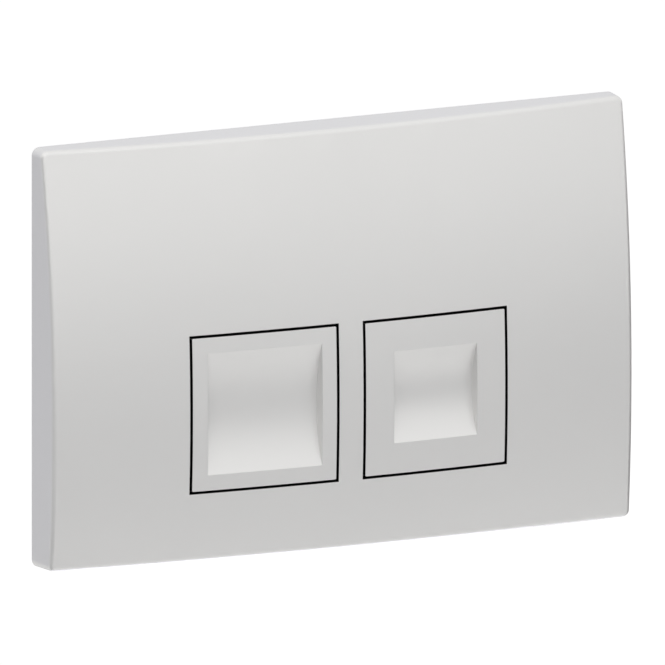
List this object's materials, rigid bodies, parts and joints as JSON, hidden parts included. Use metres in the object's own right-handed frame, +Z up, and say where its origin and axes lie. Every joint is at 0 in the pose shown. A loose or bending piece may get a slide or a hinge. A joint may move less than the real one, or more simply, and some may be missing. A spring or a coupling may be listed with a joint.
{
  "type": "flush button plate",
  "caption": "Domed wall plate for a concealed cistern with a full and a half flush button that tilt in on hinge pins and press spring-loaded rods through the wall.",
  "frame": {"origin": "on the wall's face, midway between the two fixing studs, at the middle of the plate", "axes": "+X to the right across the plate, +Y into the wall, +Z up"},
  "size_m": [0.246, 0.0755, 0.164],
  "materials": {
    "satin_silver": "satin silver plating on moulded plastic",
    "black_plastic": "moulded, matt",
    "grey_plastic": "moulded, matt",
    "white_plastic": "moulded, smooth",
    "bright_steel": "bright drawn",
    "zinc_steel": "zinc plated",
    "rubber": "matt"
  },
  "bodies": {
    "wall_body": {"cover_plate": "satin_silver", "button_carrier": "black_plastic", "mounting_frame": "grey_plastic", "fixing_nut_left": "black_plastic", "fixing_nut_right": "black_plastic", "carrier_screws": "zinc_steel", "stop_pads": "rubber", "full_flush_hinge_pin": "bright_steel", "full_flush_spring": "bright_steel", "full_flush_rod_guide": "white_plastic", "half_flush_hinge_pin": "bright_steel", "half_flush_spring": "bright_steel", "half_flush_rod_guide": "white_plastic", "fixing_stud_left": "zinc_steel", "fixing_washer_left": "zinc_steel", "fixing_stud_right": "zinc_steel", "fixing_washer_right": "zinc_steel"},
    "full_flush_button_body": {"full_flush_button": "satin_silver"},
    "full_flush_rod_body": {"full_flush_push_rod": "white_plastic", "full_flush_rod_head": "white_plastic"},
    "half_flush_button_body": {"half_flush_button": "satin_silver"},
    "half_flush_rod_body": {"half_flush_push_rod": "white_plastic", "half_flush_rod_head": "white_plastic"}
  },
  "joints": [
    {"name": "full_flush_press", "type": "hinge", "parent": "wall_body", "child": "full_flush_button_body", "pos_m": [-0.036, -0.01733, 0.00035], "axis": [1, 0, 0], "range_deg": [0, 6], "stiffness_Nm_per_rad": 0.7, "springref_deg": -11.46},
    {"name": "full_flush_rod_travel", "type": "slide", "parent": "wall_body", "child": "full_flush_rod_body", "axis": [0, 1, 0], "range_m": [0, 0.00365], "deforming": ["full_flush_spring"]},
    {"name": "half_flush_press", "type": "hinge", "parent": "wall_body", "child": "half_flush_button_body", "pos_m": [0.036, -0.01733, 0.00035], "axis": [1, 0, 0], "range_deg": [0, 6], "stiffness_Nm_per_rad": 0.7, "springref_deg": -11.46},
    {"name": "half_flush_rod_travel", "type": "slide", "parent": "wall_body", "child": "half_flush_rod_body", "axis": [0, 1, 0], "range_m": [0, 0.00365], "deforming": ["half_flush_spring"]}
  ],
  "couplings": [
    {"joint": "full_flush_rod_travel", "follows": "full_flush_press", "m_per_rad": 0.03435},
    {"joint": "half_flush_rod_travel", "follows": "half_flush_press", "m_per_rad": 0.03435}
  ]
}
